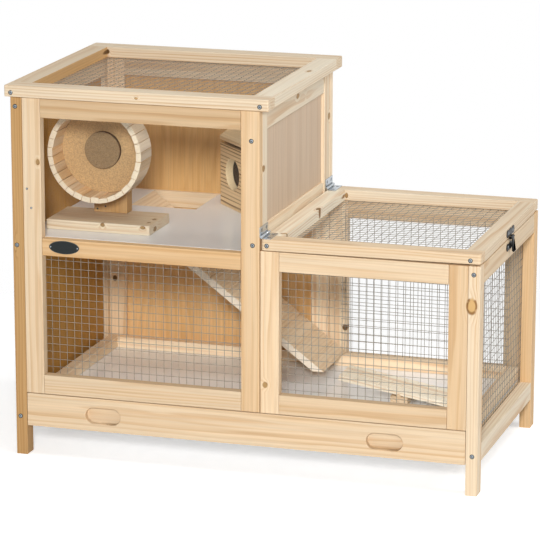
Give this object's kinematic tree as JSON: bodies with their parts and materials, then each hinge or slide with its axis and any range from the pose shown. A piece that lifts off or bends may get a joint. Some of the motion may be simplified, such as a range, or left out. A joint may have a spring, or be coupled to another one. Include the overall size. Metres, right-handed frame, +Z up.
{
  "type": "wooden hamster cage",
  "caption": "Two-storey wooden hamster cage: tall windowed tower beside a wire-mesh run, lifting lids, pull-out tray, ramp, running wheel, hut and seesaw.",
  "frame": {"origin": "under the middle of the whole cage, on the floor the legs stand on", "axes": "+X to the right seen from the front, +Y from the front to the back, +Z up"},
  "size_m": [0.8204, 0.4424, 0.635],
  "materials": {
    "pine": "planed",
    "honey_pine": "planed",
    "plywood": "sanded",
    "white_board": "gloss",
    "wire": "galvanised",
    "zinc": "bright",
    "black_iron": "satin",
    "fibreboard": "raw",
    "hut_pine": "sanded",
    "acrylic": "clear"
  },
  "bodies": {
    "cage": {"leg_front_left": "honey_pine", "leg_front_right": "pine", "leg_back_left": "pine", "leg_back_right": "honey_pine", "tower_stiles": "pine", "tower_rail_top": "pine", "tower_rail_mid": "pine", "tower_rail_bottom": "pine", "tower_window": "acrylic", "tower_mesh": "wire", "left_rails": "pine", "left_panel": "plywood", "back_stiles": "pine", "back_rails": "pine", "back_panels": "plywood", "right_posts": "pine", "right_rail_top": "pine", "right_rail_bottom": "pine", "right_panel": "plywood", "storey_beam": "pine", "run_stiles": "pine", "run_rail_top": "pine", "run_rail_bottom": "pine", "run_front_mesh": "wire", "run_back_mesh": "wire", "run_side_mesh": "wire", "side_rails": "pine", "floor_bearers": "pine", "upper_floor": "white_board", "ramp": "pine", "hut_front": "hut_pine", "hut_walls": "hut_pine", "hut_roof": "hut_pine", "wheel_base": "pine", "wheel_post": "pine", "wheel_axle": "zinc", "tray_runners": "pine", "hinge_wall_leaves": "zinc", "hinge_pins": "zinc", "latch_keeper": "black_iron"},
    "run_lid": {"run_lid_long": "pine", "run_lid_short": "pine", "run_lid_mesh": "wire", "run_lid_leaves": "zinc", "latch_plate": "black_iron"},
    "latch": {"latch_hasp": "black_iron"},
    "tower_lid": {"tower_lid_long": "pine", "tower_lid_short": "pine", "tower_lid_mesh": "wire", "tower_lid_leaves": "zinc"},
    "drawer": {"drawer_front": "pine", "drawer_floor": "white_board", "drawer_sides": "pine", "drawer_back": "pine", "seesaw_block": "pine", "seesaw_dowel": "pine"},
    "seesaw": {"seesaw_board": "pine"},
    "wheel": {"wheel_drum": "pine", "wheel_disc": "fibreboard", "wheel_hub": "fibreboard"}
  },
  "joints": [
    {"name": "run_lid_hinge", "type": "hinge", "parent": "cage", "child": "run_lid", "pos_m": [0.0317, 0.00075, 0.4069], "axis": [0, -1, 0], "range_deg": [0, 85]},
    {"name": "latch_swing", "type": "hinge", "parent": "run_lid", "child": "latch", "pos_m": [0.4014, -0.00325, 0.3865], "axis": [0, -1, 0], "range_deg": [0, 150]},
    {"name": "tower_lid_hinge", "type": "hinge", "parent": "cage", "child": "tower_lid", "pos_m": [-0.1822, 0.21865, 0.615], "axis": [-1, 0, 0], "range_deg": [0, 180]},
    {"name": "drawer_slide", "type": "slide", "parent": "cage", "child": "drawer", "axis": [0, -1, 0], "range_m": [0, 0.155]},
    {"name": "seesaw_tilt", "type": "hinge", "parent": "drawer", "child": "seesaw", "pos_m": [0.2178, 0.00125, 0.1044], "axis": [0, -1, 0], "range_deg": [0, 18.8]},
    {"name": "wheel_spin", "type": "hinge", "parent": "cage", "child": "wheel", "pos_m": [-0.2892, -0.09825, 0.506], "axis": [0, 1, 0], "continuous": true}
  ]
}
